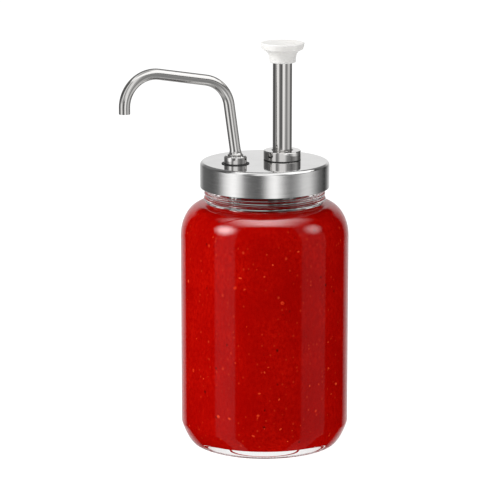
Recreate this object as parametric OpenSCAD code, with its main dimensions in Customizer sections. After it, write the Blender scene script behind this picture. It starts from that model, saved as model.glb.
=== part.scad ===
// Pump dispenser: a one gallon glass jar, a twist-off metal lid, a plunger pump
// and a swivelling spout. Millimetres, +Z up, the origin under the middle of the
// jar's foot. The spout points to -X and the plunger stands on the +X side.

/* [Jar] */
// Outer diameter of the jar's body
jar_d = 152.4; // [140:0.2:175]
// Height of the jar, from its foot to its rim
jar_h = 257; // [245:1:290]
// Thickness of the glass wall
jar_wall = 4; // [3:0.25:5]
// Thickness of the glass floor over the push-up
jar_floor = 6; // [4:0.5:9]
// Height of the push-up under the floor
punt_h = 2.5; // [1:0.5:4]
// How far the foot stands in from the wall
foot_inset = 10; // [7:0.25:14]
// Height of the curved heel
heel_h = 19.7; // [14:0.1:26]
// Height of the curved shoulder
shoulder_h = 29.8; // [22:0.1:36]

/* [Neck] */
// Outer diameter of the neck under the thread
neck_d = 106.6; // [104:0.2:112]
// Height of the neck, from the shoulder to the rim
neck_h = 35.1; // [33:0.1:38]
// Thickness of the glass in the neck
neck_wall = 4.5; // [3.8:0.1:6]
// How far the two beads stand out of the neck
bead_out = 1.8; // [1:0.1:2.2]
// How far a thread ridge stands out of the neck
thread_out = 1.45; // [1:0.05:1.8]
// Thickness of a thread ridge
thread_w = 3.4; // [2.6:0.2:4]
// Number of thread ridges, and of lugs in the lid
thread_count = 6; // [4:1:6]

/* [Lid] */
// Thickness of the lid's sheet
lid_sheet = 0.9; // [0.6:0.1:1.2]
// Height of the lid over all
lid_h = 23.3; // [21:0.1:26]
// Radius of the lid's top edge
lid_corner = 3; // [1.5:0.25:4]
// Wall of the plastic ring that holds the lugs
liner_wall = 2.25; // [1.2:0.05:2.6]
// Thickness of the rim gasket
gasket_t = 2.3; // [1.5:0.1:3]

/* [Pump] */
// Distance of the plunger's axis from the jar's axis
pump_x = 17.5; // [16:0.5:21]
// Outer diameter of the round nut around the plunger
collar_d = 34; // [31:0.5:36]
// Height of the round nut
collar_h = 8.3; // [7.5:0.1:10]
// Inner diameter of the pump cylinder
bore_d = 24; // [23.4:0.2:25]
// Wall of the pump cylinder
cylinder_wall = 0.7; // [0.6:0.1:1.2]
// Diameter of the return spring's wire
wire_d = 1.6; // [1.2:0.1:1.8]
// Number of turns of the return spring
spring_turns = 13; // [10:1:14]
// Height of the piston
piston_h = 14; // [13:0.5:18]
// Distance of the suction tube's mouth from the glass floor
intake_gap = 7; // [4:0.5:20]
// Outer diameter of the suction tube
suction_d = 14; // [12:0.5:15]
// Radius of the inlet ball
inlet_ball_r = 6; // [5.2:0.1:6.4]
// Radius of the outlet ball
outlet_ball_r = 3.8; // [3.4:0.1:3.9]
// Lift of both balls
ball_lift = 3; // [2:0.25:3.5]

/* [Plunger] */
// Outer diameter of the plunger tube
plunger_d = 17.5; // [16.5:0.1:17.9]
// Wall of the plunger tube
plunger_wall = 0.9; // [0.6:0.1:1.2]
// Height of the knob over the round nut, which is a little more than the stroke
plunger_rise = 80; // [60:1:95]
// Diameter of the knob's rim
knob_d = 40; // [34:0.5:46]
// Diameter of the knob's foot
knob_foot_d = 24; // [22:0.5:28]
// Height of the knob
knob_h = 17.7; // [16:0.1:22]
// Height of the knob's rim
knob_rim_h = 5.9; // [4:0.1:7]
// Depth of the dish in the knob's top
knob_dish = 2; // [0.5:0.25:2.5]

/* [Spout] */
// Distance of the spout's axis from the jar's axis
spout_x = 29.2; // [28.5:0.1:32]
// Outer diameter of the spout and the discharge pipe
tube_d = 10; // [9:0.1:10.4]
// Wall of the spout and the discharge pipe
tube_wall = 0.8; // [0.6:0.1:1.2]
// Lean of the spout's riser, in degrees
spout_lean = 8.2; // [1:0.2:15]
// Rise of the spout's arm over the level, in degrees
arm_rise = 10.2; // [0:0.2:20]
// Bend radius of the spout at its centreline
bend_r = 28; // [22:0.5:36]
// Straight length of the riser
riser_len = 41.5; // [30:0.5:60]
// Straight length of the arm
arm_len = 46; // [20:0.5:70]
// Straight length at the spout's tip
tip_len = 5.5; // [4:0.5:20]
// Outer diameter of the spout's domed nut
spout_nut_d = 20.6; // [19.6:0.2:22]
// Height of the spout's domed nut
spout_nut_h = 7.2; // [6.8:0.1:8.5]

/* [Hidden] */
$fn = 96;

// Clearances: a seated part, a running part, and what a cutter runs past a face
fit = 0.05;
run = 0.1;
past = 1;

// Jar
jar_r = jar_d / 2;
neck_r = neck_d / 2;
mouth_r = neck_r - neck_wall;
foot_r = jar_r - foot_inset;
foot_w = 5;
foot_h = 1.6;
foot_round = 0.6;
foot_step = 0.9;
foot_notch = 0.7;
punt_edge = 6;
punt_sag = 0.4;
heel_power = 1.24;
corner_w = 14;
corner_h = 18;
neck_fillet = 2.1;
fillet_reach = 0.8;
fillet_drop = 0.2;
neck_turn = 2;
bead_w = 3.6;
bead_gap = 0.7;
bead_step = 4.8;
bead_less = 0.4;
rim_round = 1.4;
inside_z = punt_h + jar_floor;
shoulder_top = jar_h - neck_h;
shoulder_z = shoulder_top - shoulder_h;
shoulder_r = neck_r + neck_fillet;
neck_low = shoulder_top + neck_fillet;

// Thread ridges and lugs: a lug stands between two ridges at rest and turns under one
thread_r = neck_r + thread_out;
thread_gap = 0.45;
ridge_root = 1;
ridge_slope = 0.6;
pitch_deg = 360 / thread_count;
ridge_deg = pitch_deg / 2;
lug_deg = 0.3 * pitch_deg;
lug_w = 3.4;
lug_out = 1.3;
lug_root = 0.5;
lug_slope = 0.4;
lug_play = 0.5;

// Lid
seat_z = jar_h + gasket_t;
lid_top = seat_z + lid_sheet;
lid_low = lid_top - lid_h;
liner_in = thread_r + thread_gap;
liner_out = liner_in + liner_wall;
lid_in = liner_out + fit;
lid_r = lid_in + lid_sheet;
liner_inset = 1.5;
liner_gap = 0.5;
lug_inset = 0.6;
liner_low = lid_low + liner_inset;
liner_high = jar_h - liner_gap;
lug_low = liner_low + lug_inset;
gasket_in = 0.4;
gasket_out = 1.2;
thread_low = lug_low + lug_w + lug_play;

// Pump head, from the lid downwards
hole_play = 0.3;
lap = 0.5;
washer_inset = 0.2;
washer_t = 0.5;
under_washer_t = 1.5;
head_wall = 1.5;
bush_wall = 1.5;
flange_t = 3.5;
plug_len = 10;
plunger_r = plunger_d / 2;
bore_r = bore_d / 2;
cylinder_r = bore_r + cylinder_wall;
bush_in = plunger_r + run;
bush_out = bush_in + bush_wall;
head_bore = bush_out + fit;
head_r = max(bore_r - run, head_bore + head_wall);
lid_hole_r = head_r + hole_play;
plug_r = bore_r - run;
flange_out = 4.1;
head_flange_r = cylinder_r + flange_out;
flange_top = seat_z - under_washer_t;
flange_low = flange_top - flange_t;
stop_z = flange_low - plug_len;
collar_r = collar_d / 2;
collar_low = lid_top + washer_t;
collar_top = collar_low + collar_h;
collar_lip = 2;
collar_edge = 0.8;
collar_play = 0.55;
collar_hole = plunger_r + collar_play;
wiper_t = 1;
bush_flange_t = 1.2;
bush_inset = 0.4;
bush_flange_r = head_r - bush_inset;
wiper_low = collar_top - collar_lip - wiper_t;
head_top = wiper_low - bush_flange_t;
bayonet_r = 1.5;
bayonet_root = 0.3;
bayonet_out = 1.2;
bayonet_z = flange_low - plug_len / 2;
knob_stop = 0.5;
stroke = plunger_rise - knob_stop;
stop_gap = 0.2;
piston_top = stop_z - stop_gap;
piston_low = piston_top - piston_h;
wire_r = wire_d / 2;
spring_packed = 1.2;
spring_spare = 2;
spring_room = spring_packed * spring_turns * wire_d + spring_spare;

// Cylinder and valve body
seal_t = 1;
floor_z = piston_low - stroke - spring_room;
cylinder_low = floor_z + seal_t;
cylinder_len = flange_low - cylinder_low;
socket_r = cylinder_r + fit;
socket_depth = 10;
socket_wall = 2.5;
valve_r = socket_r + socket_wall;
ball_gap = 0.05;
stop_pin_r = 0.9;
stop_pin_short = 0.6;
stop_pin_gap = 0.6;
passage_r = 3.4;
passage_drop = 8;
passage_z = floor_z - passage_drop;
arm_h = 12;
arm_w = 14;
ball_room = 1.5;
inlet_room_r = inlet_ball_r + ball_room;
inlet_stop_z = passage_z - passage_r - stop_pin_r - stop_pin_gap;
inlet_ball_z = inlet_stop_z - stop_pin_r - ball_gap - ball_lift - inlet_ball_r;
inlet_seat_r = 0.7 * inlet_ball_r;
inlet_seat_z = inlet_ball_z - ball_gap - sqrt(pow(inlet_ball_r, 2) - pow(inlet_seat_r, 2));
inlet_seat_h = 4;
suction_r = suction_d / 2;
suction_wall = 0.8;
intake_slant = 30;
suction_socket = 10;
suction_top = inlet_seat_z - inlet_seat_h;
valve_low = suction_top - suction_socket;
valve_wall = 3.4;
valve_neck_r = max(suction_r, inlet_room_r) + valve_wall;
neck_cone = 6;
tube_r = tube_d / 2;
tube_in = tube_r - tube_wall;
pipe_step = 0.2;
outlet_web = 2.8;
outlet_room_r = tube_r - pipe_step;
outlet_seat_z = passage_z + passage_r + outlet_web;
outlet_seat_r = 0.72 * outlet_ball_r;
outlet_ball_z = outlet_seat_z + sqrt(pow(outlet_ball_r, 2) - pow(outlet_seat_r, 2)) + ball_gap;
outlet_stop_z = outlet_ball_z + outlet_ball_r + ball_lift + stop_pin_r + ball_gap;
pipe_gap = 0.5;
pipe_low = outlet_stop_z + stop_pin_r + pipe_gap;
pipe_socket = 8;
tower_top = pipe_low + pipe_socket;
tower_wall = 3.5;
tower_r = tube_r + tower_wall;
plug_lip = 1.2;
plug_head_r = passage_r + plug_lip;
plug_head_t = 1.5;
plug_in = 3.5;

// Gland nut on the discharge pipe
gland_seal_t = 2;
gland_lip = 3;
gland_skirt = 7;
gland_wall = 3;
gland_hex_r = tower_r + gland_wall;
gland_low = tower_top - gland_skirt;
gland_roof = tower_top + gland_seal_t + fit;

// Spout fitting, nut and base flange
fitting_wall = 3;
fitting_hex_out = 3.5;
hex_inset = 1;
fitting_r = tube_r + fitting_wall;
fitting_hex_r = fitting_r + fitting_hex_out;
fitting_flange_t = 4;
fitting_barrel = 16;
fitting_flange_low = flange_top - fitting_flange_t;
fitting_low = fitting_flange_low - fitting_barrel;
pipe_in_fitting = 10;
fitting_web = 2.5;
spout_low = fitting_low + pipe_in_fitting + fitting_web + run;
nut_low = lid_top + washer_t;
nut_top = nut_low + spout_nut_h;
nut_r = spout_nut_d / 2;
nut_roof = 1.4;
nut_dome = 1.6;
nut_edge = 0.4;
washer_out = 2.2;
spout_flange_t = 1.2;
spout_flange_inset = 0.6;
spout_flange_r = fitting_r - spout_flange_inset;
fitting_top = nut_top - nut_roof - spout_flange_t - 3 * run;
spout_seal_r = 0.8;
spout_hole_r = fitting_r + hole_play;
flare_out = 2.2;
flare_edge = 0.5;
flare_curl = 0.4;
flare_gap = 0.2;
flare_r = tube_r + flare_out;
flare_h = 4;
flare_lip = 0.3;
flare_low = nut_top + flare_gap;
bend_start = 1;
lap_out = 0.01;
lap_len = 0.4;

// Plunger
piston_play = 0.3;
piston_r = bore_r - piston_play;
ring_r = 1;
ring_centre = bore_r - fit - ring_r;
groove_r = ring_centre - ring_r - fit;
groove_play = 0.2;
groove_h = 2 * ring_r + groove_play;
groove_inset = 3.4;
plunger_in = plunger_r - plunger_wall;
core_r = plunger_in - fit;
spigot_h = 8;
screw_r = 2.5;
screw_head_r = 4.5;
screw_head_h = 3.3;
screw_bite = 8;
foot_gap = 0.1;
foot_plug_h = 10;
foot_roof = 1;
knob_low = collar_top + plunger_rise;
knob_top = knob_low + knob_h;
knob_socket = 5;
plunger_top = knob_low + knob_socket;
stud_plug_h = 10;
stud_r = 4;
stud_len = 7;
stud_gap = 0.2;
knob_r = knob_d / 2;
knob_foot_r = knob_foot_d / 2;
knob_rim_taper = 1.3;
knob_rim_under = 1.1;
knob_rim_edge = 0.6;
knob_waist = 2;
knob_waist_in = 2.2;
knob_edge = 0.4;
knob_round = 0.8;
knob_dish_in = 1.6;

// Return spring
spring_play = 2;
spring_r = bore_r - spring_play;
spring_rings = 8;
spring_sides = 6;

// Points of an elliptical arc round [x, z], from angle a to angle b
function arc(x, z, rx, rz, a, b, n = 12) =
    [for (i = [0 : n]) let (t = a + (b - a) * i / n) [x + rx * cos(t), z + rz * sin(t)]];

// Points of the heel: a flattened quarter curve from the foot out to the wall
function heel(x0, x1, z0, z1, n = 16) =
    [for (i = [0 : n]) let (t = 90 * i / n, p = 2 / heel_power)
        [x0 + (x1 - x0) * pow(sin(t), p), z0 + (z1 - z0) * (1 - pow(cos(t), p))]];

// Points of the shoulder's inner face: the outer ellipse moved in by the wall
function shoulder_inside(rx, rz, a, b, n = 12) =
    [for (i = [0 : n]) let (t = a + (b - a) * i / n, nx = cos(t) / rx, nz = sin(t) / rz, l = norm([nx, nz]))
        [shoulder_r + rx * cos(t) - jar_wall * nx / l, shoulder_z + rz * sin(t) - jar_wall * nz / l]];

// A ring of rectangular section
module ring(r_in, r_out, z, h) {
    translate([0, 0, z]) difference() {
        cylinder(r = r_out, h = h);
        translate([0, 0, -past]) cylinder(r = r_in, h = h + 2 * past);
    }
}

// An O-ring
module o_ring(r, section, z) {
    translate([0, 0, z]) rotate_extrude() translate([r, 0]) circle(r = section, $fn = 32);
}

// A plain cylinder from height z
module rod(r, z, h) {
    translate([0, 0, z]) cylinder(r = r, h = h);
}

// A pin along Y through the axis at height z
module cross_pin(r, z, length) {
    translate([0, 0, z]) rotate([90, 0, 0]) cylinder(r = r, h = length, center = true);
}

module at_pump() {
    translate([pump_x, 0, 0]) children();
}

module at_spout() {
    translate([-spout_x, 0, 0]) children();
}

// A rod of radius r along a path of steps: ["go", length] or ["turn", degrees towards -X].
// A hair-thick band laps the end of each bend, so that the stretches are one solid
module bent_rod(r, steps, i = 0) {
    if (i < len(steps)) {
        if (steps[i][0] == "go") {
            cylinder(r = r, h = steps[i][1]);
            translate([0, 0, steps[i][1]]) bent_rod(r, steps, i + 1);
        } else {
            translate([-bend_r, 0, 0]) rotate([90, 0, 0])
                rotate_extrude(angle = steps[i][1]) translate([bend_r, 0]) circle(r = r, $fn = 48);
            translate([-bend_r, 0, 0]) rotate([0, -steps[i][1], 0]) translate([bend_r, 0, 0]) {
                translate([0, 0, -lap_len / 2]) cylinder(r = r + lap_out, h = lap_len);
                bent_rod(r, steps, i + 1);
            }
        }
    }
}

// The glass jar: foot, heel, wall, shoulder, neck with two beads, and thread ridges
module glass_jar() {
    shoulder_w = jar_r - shoulder_r;
    inner_r = jar_r - jar_wall;
    corner_r = inner_r - corner_w;
    foot_in = foot_r - foot_w;
    step_r = foot_r + foot_step;
    bead_z = neck_low + bead_gap + bead_w / 2;
    fillet_w = neck_fillet + fillet_reach;
    outside = concat(
        [[0, punt_h], [foot_in - punt_edge, punt_h - punt_sag]],
        [[foot_in, foot_round], [foot_in + foot_round, 0], [foot_r - foot_round, 0], [foot_r, foot_round]],
        [[step_r, foot_h - foot_round], [step_r, foot_h]],
        [for (p = heel(foot_r, jar_r, 0, heel_h)) if (p[1] > foot_h + foot_notch) p],
        arc(shoulder_r, shoulder_z, shoulder_w, shoulder_h, 0, 86, 20),
        arc(neck_r + fillet_w, neck_low, fillet_w, neck_fillet - fillet_drop, 270, 180, 6),
        arc(neck_r, bead_z, bead_out, bead_w / 2, -90, 90, 10),
        arc(neck_r, bead_z + bead_step, bead_out - bead_less, bead_w / 2 - bead_less, -90, 90, 10),
        arc(neck_r - rim_round, jar_h - rim_round, rim_round, rim_round, 0, 90, 6)
    );
    turn_in = shoulder_inside(shoulder_w, shoulder_h, 78, 0);
    turn_x = turn_in[0][0];
    turn_z = neck_low + neck_turn;
    inside = concat(
        arc(mouth_r + rim_round, jar_h - rim_round, rim_round, rim_round, 90, 180, 6),
        arc(turn_x, turn_z, turn_x - mouth_r, turn_z - turn_in[0][1], 180, 265, 10),
        turn_in,
        arc(corner_r, inside_z + corner_h, corner_w, corner_h, 0, -90, 12),
        [[0, inside_z]]
    );
    color([0.9, 0.95, 0.95, 0.35]) union() {
        rotate_extrude() polygon(concat(outside, inside));
        for (i = [0 : thread_count - 1])
            rotate([0, 0, i * pitch_deg]) rotate_extrude(angle = ridge_deg) polygon([
                [neck_r - ridge_root, thread_low - ridge_slope],
                [thread_r, thread_low],
                [thread_r, thread_low + thread_w - 2 * ridge_slope],
                [neck_r - ridge_root, thread_low + thread_w]
            ]);
    }
}

// The gasket between the glass rim and the lid's roof
module lid_gasket() {
    color("whitesmoke") ring(mouth_r - gasket_in, neck_r + gasket_out, jar_h, gasket_t);
}

// The pressed lid: a flat roof, a rounded edge, a straight skirt and two holes
module lid_shell() {
    inner_corner = lid_corner - lid_sheet;
    edge = lid_sheet / 3;
    section = concat(
        [[0, lid_top]],
        arc(lid_r - lid_corner, lid_top - lid_corner, lid_corner, lid_corner, 90, 0, 10),
        [[lid_r, lid_low + edge], [lid_r - edge, lid_low]],
        [[lid_in + edge / 2, lid_low], [lid_in, lid_low + edge / 2]],
        arc(lid_in - inner_corner, seat_z - inner_corner, inner_corner, inner_corner, 0, 90, 10),
        [[0, seat_z]]
    );
    color("silver") difference() {
        rotate_extrude() polygon(section);
        at_pump() rod(lid_hole_r, seat_z - past, lid_sheet + 2 * past);
        at_spout() rod(spout_hole_r, seat_z - past, lid_sheet + 2 * past);
    }
}

// The plastic ring pressed into the skirt, with the lugs that turn under the ridges
module lid_liner() {
    lug_start = ridge_deg + (pitch_deg - ridge_deg - lug_deg) / 2;
    color("gainsboro") union() {
        ring(liner_in, liner_out, liner_low, liner_high - liner_low);
        for (i = [0 : thread_count - 1])
            rotate([0, 0, i * pitch_deg + lug_start]) rotate_extrude(angle = lug_deg) polygon([
                [liner_in + lug_root, lug_low],
                [liner_in - lug_out, lug_low + lug_slope],
                [liner_in - lug_out, lug_low + lug_w - lug_slope],
                [liner_in + lug_root, lug_low + lug_w]
            ]);
    }
}

// The round nut that clamps the pump to the lid
module pump_collar() {
    edge = collar_edge;
    section = [
        [head_r + fit, collar_low], [collar_r - edge / 2, collar_low], [collar_r, collar_low + edge / 2],
        [collar_r, collar_top - edge], [collar_r - edge / 3, collar_top - edge / 3],
        [collar_r - edge, collar_top], [collar_hole + edge, collar_top],
        [collar_hole, collar_top - edge], [collar_hole, collar_top - collar_lip],
        [head_r + fit, collar_top - collar_lip]
    ];
    color("silver") at_pump() rotate_extrude() polygon(section);
}

module collar_washer() {
    color("dimgray") at_pump() ring(lid_hole_r, collar_r - washer_inset, lid_top, washer_t);
}

module head_washer() {
    color("dimgray") at_pump() ring(lid_hole_r, head_flange_r, flange_top, under_washer_t);
}

// The threaded head: a tube through the lid, a flange under it and a plug in the cylinder
module pump_head() {
    color("silver") at_pump() difference() {
        union() {
            rod(head_r, flange_top - lap, head_top - flange_top + lap);
            rod(head_flange_r, flange_low, flange_t);
            rod(plug_r, stop_z, plug_len + lap);
        }
        rod(head_bore, stop_z - past, head_top - stop_z + 2 * past);
        cross_pin(bayonet_r + fit, bayonet_z, 2 * plug_r + 2 * past);
    }
}

// The plastic bush that guides the plunger, with a flange on the head's end
module guide_bush() {
    color("ivory") at_pump() difference() {
        union() {
            rod(bush_out, stop_z + lap, wiper_low - stop_z - lap);
            rod(bush_flange_r, head_top, bush_flange_t);
        }
        rod(bush_in, stop_z - past, wiper_low - stop_z + 2 * past);
    }
}

module plunger_wiper() {
    color("dimgray") at_pump() ring(bush_in, bush_flange_r, wiper_low, wiper_t);
}

// Two pins that lock the cylinder onto the head
module bayonet_pins() {
    root = bush_out + bayonet_root;
    tip = cylinder_r + bayonet_out;
    color("silver") at_pump() for (side = [0, 180])
        rotate([0, 0, side]) translate([0, root, bayonet_z]) rotate([-90, 0, 0])
            cylinder(r = bayonet_r, h = tip - root);
}

module pump_cylinder() {
    color("silver") at_pump() difference() {
        ring(bore_r, cylinder_r, cylinder_low, cylinder_len);
        cross_pin(bayonet_r + fit, bayonet_z, 2 * cylinder_r + 2 * past);
    }
}

module cylinder_gasket() {
    color("dimgray") at_pump() ring(bore_r, cylinder_r, floor_z, seal_t);
}

// The middle of the return spring's wire at ring i, and its last ring's number
spring_low = floor_z + wire_r + fit;
spring_high = piston_low - wire_r - fit;
spring_last = spring_turns * spring_rings;
spring_rise = (spring_high - spring_low) / spring_last;
function spring_middle(i) =
    let (turn = 360 * i / spring_rings)
        [spring_r * cos(turn), spring_r * sin(turn), spring_low + spring_rise * i];

// The least gap between two turns, less what six sides stand inside a round wire
spring_gap = min([
    for (i = [0 : spring_last], j = [i + spring_rings - 2 : 1 : min(i + spring_rings + 2, spring_last)])
        norm(spring_middle(i) - spring_middle(j)) - wire_d
]);
echo(str("return spring: least gap between its turns ", spring_gap, " mm"));

// The return spring: one six-sided wire wound from the floor to the piston, with straight ends
module return_spring() {
    rings = [-1, each [0 : spring_last], spring_last + 1];
    points = [
        for (i = rings, k = [0 : spring_sides - 1])
            let (
                on = min(max(i, 0), spring_last),
                turn = 360 * on / spring_rings,
                side = 360 * k / spring_sides,
                out = wire_r * cos(side)
            )
            spring_middle(on)
                + [out * cos(turn), out * sin(turn), wire_r * sin(side)]
                + (i - on) * wire_d * [-sin(turn), cos(turn), 0]
    ];
    walls = [
        for (i = [0 : len(rings) - 2], k = [0 : spring_sides - 1])
            let (
                a = i * spring_sides + k,
                b = i * spring_sides + (k + 1) % spring_sides
            )
            each [[a, b, b + spring_sides], [a, b + spring_sides, a + spring_sides]]
    ];
    last = (len(rings) - 1) * spring_sides;
    caps = [
        for (k = [1 : spring_sides - 2])
            each [[0, k + 1, k], [last, last + k, last + k + 1]]
    ];
    color("silver") at_pump() polyhedron(points, concat(walls, caps));
}

// The valve body: socket, inlet room, cross passage and outlet tower
module valve_body() {
    arm_low = passage_z - arm_h / 2;
    cone_low = arm_low - neck_cone;
    color("lightgray") difference() {
        union() {
            at_pump() {
                rod(valve_r, arm_low, cylinder_low + socket_depth - arm_low);
                translate([0, 0, cone_low]) cylinder(r1 = valve_neck_r, r2 = valve_r, h = neck_cone);
                rod(valve_neck_r, valve_low, cone_low - valve_low);
            }
            at_spout() rod(tower_r, arm_low, tower_top - arm_low);
            translate([-spout_x, -arm_w / 2, arm_low]) cube([spout_x + pump_x, arm_w, arm_h]);
        }
        at_pump() {
            rod(socket_r, floor_z, seal_t + socket_depth + past);
            rod(inlet_room_r, inlet_seat_z, floor_z - inlet_seat_z + past);
            rod(inlet_seat_r, suction_top - past, inlet_seat_h + 2 * past);
            rod(suction_r + fit, valve_low - past, suction_socket + past);
            cross_pin(stop_pin_r + fit, inlet_stop_z, 2 * valve_r + 2 * past);
        }
        at_spout() {
            rod(outlet_seat_r, passage_z, outlet_seat_z - passage_z + past);
            rod(outlet_room_r, outlet_seat_z, pipe_low - outlet_seat_z);
            rod(tube_r + fit, pipe_low - fit, pipe_socket + past);
            cross_pin(stop_pin_r + fit, outlet_stop_z, 2 * tower_r + 2 * past);
        }
        translate([-spout_x - tower_r - past, 0, passage_z]) rotate([0, 90, 0])
            cylinder(r = passage_r, h = tower_r + past + spout_x + pump_x);
    }
}

// The plug that closes the drilled end of the cross passage
module passage_plug() {
    color("silver") translate([-spout_x - tower_r, 0, passage_z]) rotate([0, 90, 0]) union() {
        cylinder(r = passage_r - fit, h = plug_in);
        translate([0, 0, -plug_head_t]) cylinder(r = plug_head_r, h = plug_head_t);
    }
}

module inlet_ball() {
    color("silver") at_pump() translate([0, 0, inlet_ball_z]) sphere(r = inlet_ball_r);
}

module outlet_ball() {
    color("silver") at_spout() translate([0, 0, outlet_ball_z]) sphere(r = outlet_ball_r);
}

module inlet_stop_pin() {
    color("silver") at_pump() cross_pin(stop_pin_r, inlet_stop_z, 2 * valve_r - stop_pin_short);
}

module outlet_stop_pin() {
    color("silver") at_spout() cross_pin(stop_pin_r, outlet_stop_z, 2 * tower_r - stop_pin_short);
}

// The suction tube, cut off at a slant so that it can't seal against the floor
module suction_tube() {
    low = inside_z + intake_gap;
    block = 4 * suction_d;
    color("silver") at_pump() difference() {
        ring(suction_r - suction_wall, suction_r, low, suction_top - low);
        translate([-suction_r, 0, low]) rotate([0, -intake_slant, 0])
            translate([-block / 2, -block / 2, -block]) cube(block);
    }
}

// The hexagonal gland nut over the outlet tower
module pipe_gland_nut() {
    gland_top = gland_roof + gland_lip;
    color("silver") at_spout() difference() {
        translate([0, 0, gland_low]) cylinder(r = gland_hex_r, h = gland_top - gland_low, $fn = 6);
        rod(tower_r + fit, gland_low - past, gland_roof - gland_low + past);
        rod(tube_r + run, gland_low, gland_top - gland_low + past);
    }
}

module pipe_seal() {
    color("dimgray") at_spout() ring(tube_r + fit, tower_r, tower_top, gland_seal_t);
}

module discharge_pipe() {
    top = fitting_low + pipe_in_fitting;
    color("silver") at_spout() ring(tube_in, tube_r, pipe_low, top - pipe_low - fit);
}

// The fitting through the lid that joins the discharge pipe and the spout
module spout_fitting() {
    web_top = spout_low - run;
    seal_low = fitting_top - 2 * spout_seal_r - run;
    color("silver") at_spout() difference() {
        union() {
            rod(fitting_r, fitting_low, fitting_top - fitting_low);
            translate([0, 0, fitting_flange_low]) cylinder(r = fitting_hex_r, h = fitting_flange_t, $fn = 6);
        }
        rod(tube_r + fit, fitting_low - past, pipe_in_fitting + past);
        rod(tube_in, fitting_low, fitting_top - fitting_low);
        rod(tube_r + run, web_top, fitting_top - web_top + past);
        rod(tube_r + run + 2 * spout_seal_r + fit, seal_low, 2 * spout_seal_r + past);
    }
}

module fitting_washer() {
    color("dimgray") at_spout() ring(spout_hole_r, fitting_hex_r - hex_inset, flange_top, under_washer_t);
}

module spout_washer() {
    color("dimgray") at_spout() ring(spout_hole_r, nut_r + washer_out, lid_top, washer_t);
}

// The domed nut that holds the spout's base flange down on the fitting
module spout_nut() {
    under = nut_top - nut_roof;
    dome_low = nut_top - nut_dome;
    section = [
        [fitting_r + fit, nut_low], [nut_r - nut_edge, nut_low], [nut_r, nut_low + nut_edge],
        [nut_r, dome_low + nut_edge], [nut_r - nut_edge, dome_low + 2 * nut_edge],
        [nut_r - nut_dome, nut_top], [tube_r + 3 * run, nut_top],
        [tube_r + 3 * run, under], [fitting_r + fit, under]
    ];
    color("silver") at_spout() rotate_extrude() polygon(section);
}

module spout_seal() {
    seal_z = fitting_top - spout_seal_r - run / 2;
    color("dimgray") at_spout() o_ring(tube_r + run + spout_seal_r, spout_seal_r, seal_z);
}

// The spout: a spigot in the fitting, a flared base, a leaning riser, an arm and a tip
module spout_tube() {
    bend_low = flare_low + bend_start;
    turn_over = 90 - spout_lean - arm_rise;
    turn_down = 90 + arm_rise;
    steps = [
        ["go", bend_low - spout_low], ["turn", spout_lean], ["go", riser_len],
        ["turn", turn_over], ["go", arm_len], ["turn", turn_down], ["go", tip_len]
    ];
    bore_steps = concat(
        [["go", bend_low - spout_low + past]], [for (i = [1 : 5]) steps[i]], [["go", tip_len + past]]
    );
    mid_wall = tube_r - tube_wall / 2;
    flare_end = tube_r + flare_lip;
    curl_r = flare_r + flare_curl;
    flare = concat(
        [[mid_wall, flare_low], [flare_r, flare_low], [flare_r, flare_low + flare_edge]],
        arc(curl_r, flare_low + flare_h, curl_r - flare_end, flare_h - flare_edge, 260, 180, 8),
        [[mid_wall, flare_low + flare_h]]
    );
    color("silver") at_spout() difference() {
        union() {
            translate([0, 0, spout_low]) bent_rod(tube_r, steps);
            rod(spout_flange_r, fitting_top + run, spout_flange_t);
            rotate_extrude() polygon(flare);
        }
        translate([0, 0, spout_low - past]) bent_rod(tube_in, bore_steps);
    }
}

// The push knob: a foot, a flared waist, a rim and a dished top
module knob() {
    rim_low = knob_top - knob_rim_h;
    waist_low = knob_low + knob_waist;
    rim_r = knob_r - knob_rim_taper;
    waist_r = rim_r - knob_waist_in;
    waist_h = rim_low - knob_rim_under - waist_low;
    dish_r = knob_r - knob_dish_in;
    socket_top = plunger_top + fit;
    stud_top = plunger_top + stud_len + stud_gap;
    section = concat(
        [[stud_r + fit, stud_top], [stud_r + fit, socket_top], [plunger_r + fit, socket_top]],
        [[plunger_r + fit, knob_low], [knob_foot_r - knob_edge, knob_low]],
        [[knob_foot_r, knob_low + knob_edge]],
        arc(waist_r, waist_low, waist_r - knob_foot_r, waist_h, 180, 100, 12),
        [[rim_r - knob_rim_edge, rim_low], [rim_r, rim_low + knob_rim_edge]],
        arc(knob_r - knob_round, knob_top - knob_round, knob_round, knob_round, 8, 90, 5),
        [for (i = [0 : 10]) let (t = 1 - i / 10) [dish_r * t, knob_top - knob_dish * (1 - t * t)]],
        [[0, stud_top]]
    );
    color("white") at_pump() rotate_extrude() polygon(section);
}

// The plug in the plunger's top, with the stud that the knob screws onto
module knob_stud() {
    color("silver") at_pump() union() {
        rod(core_r, plunger_top - stud_plug_h, stud_plug_h);
        rod(stud_r, plunger_top - lap, stud_len + lap);
    }
}

module plunger_tube() {
    color("silver") at_pump() ring(plunger_in, plunger_r, piston_top, plunger_top - piston_top);
}

// The plug in the plunger's foot that the piston's screw bites into
module plunger_foot() {
    low = piston_top + spigot_h + foot_gap;
    color("silver") at_pump() difference() {
        rod(core_r, low, foot_plug_h);
        rod(screw_r + fit, low - past, foot_plug_h - foot_roof + past);
    }
}

// The piston, with a spigot in the plunger tube and two grooves
module piston() {
    color("ivory") at_pump() difference() {
        union() {
            rod(piston_r, piston_low, piston_h);
            rod(core_r, piston_top - lap, spigot_h + lap);
        }
        rod(screw_r + fit, piston_low - past, piston_h + spigot_h + 2 * past);
        for (z = groove_heights()) ring(groove_r, bore_r + past, z - groove_h / 2, groove_h);
    }
}

function groove_heights() = [piston_low + groove_inset, piston_top - groove_inset];

module piston_rings() {
    color("dimgray") at_pump() for (z = groove_heights()) o_ring(ring_centre, ring_r, z);
}

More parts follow.
